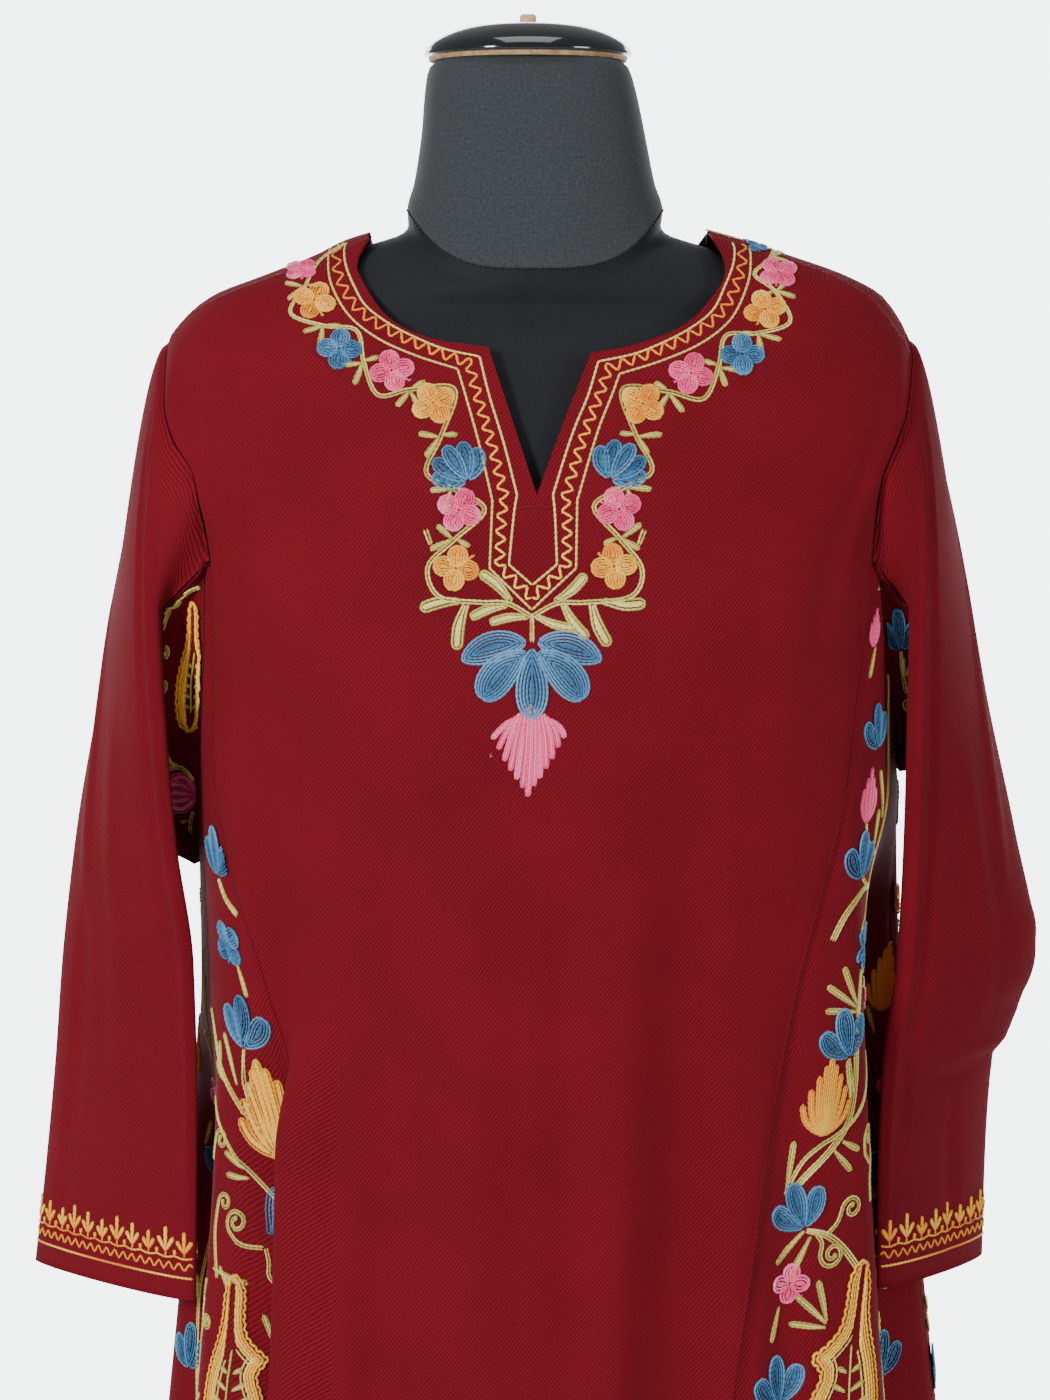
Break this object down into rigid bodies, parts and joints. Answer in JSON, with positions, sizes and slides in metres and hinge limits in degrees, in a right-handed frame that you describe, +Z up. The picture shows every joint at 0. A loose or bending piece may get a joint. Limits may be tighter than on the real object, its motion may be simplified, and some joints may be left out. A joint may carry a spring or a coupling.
{
  "type": "pheran on dress form",
  "caption": "Long maroon wool tunic with gored sides, flat straight sleeves and a round neck with a V slit, worn by a limbless black dress form on a pole and round base",
  "frame": {"origin": "middle of the base's underside, where the stand rests on the floor", "axes": "+Z up, -Y the front of the garment, +X towards the viewer's right as seen from the front"},
  "size_m": [0.562, 0.37, 1.5159],
  "materials": {
    "wool_cloth": "matt twill",
    "form_cover": "matt knit cover",
    "cap_lacquer": "black lacquer over plywood",
    "peg_wood": "bare",
    "pole_steel": "satin",
    "base_enamel": "satin black"
  },
  "bodies": {
    "root": {"front_panel": "wool_cloth", "back_panel": "wool_cloth", "front_gore_left": "wool_cloth", "front_gore_right": "wool_cloth", "back_gore_left": "wool_cloth", "back_gore_right": "wool_cloth", "gusset_left": "wool_cloth", "gusset_right": "wool_cloth", "sleeve_left": "wool_cloth", "sleeve_right": "wool_cloth", "dress_form": "form_cover", "neck_cap": "cap_lacquer", "cap_peg": "peg_wood", "pole": "pole_steel", "base": "base_enamel"}
  },
  "joints": []
}
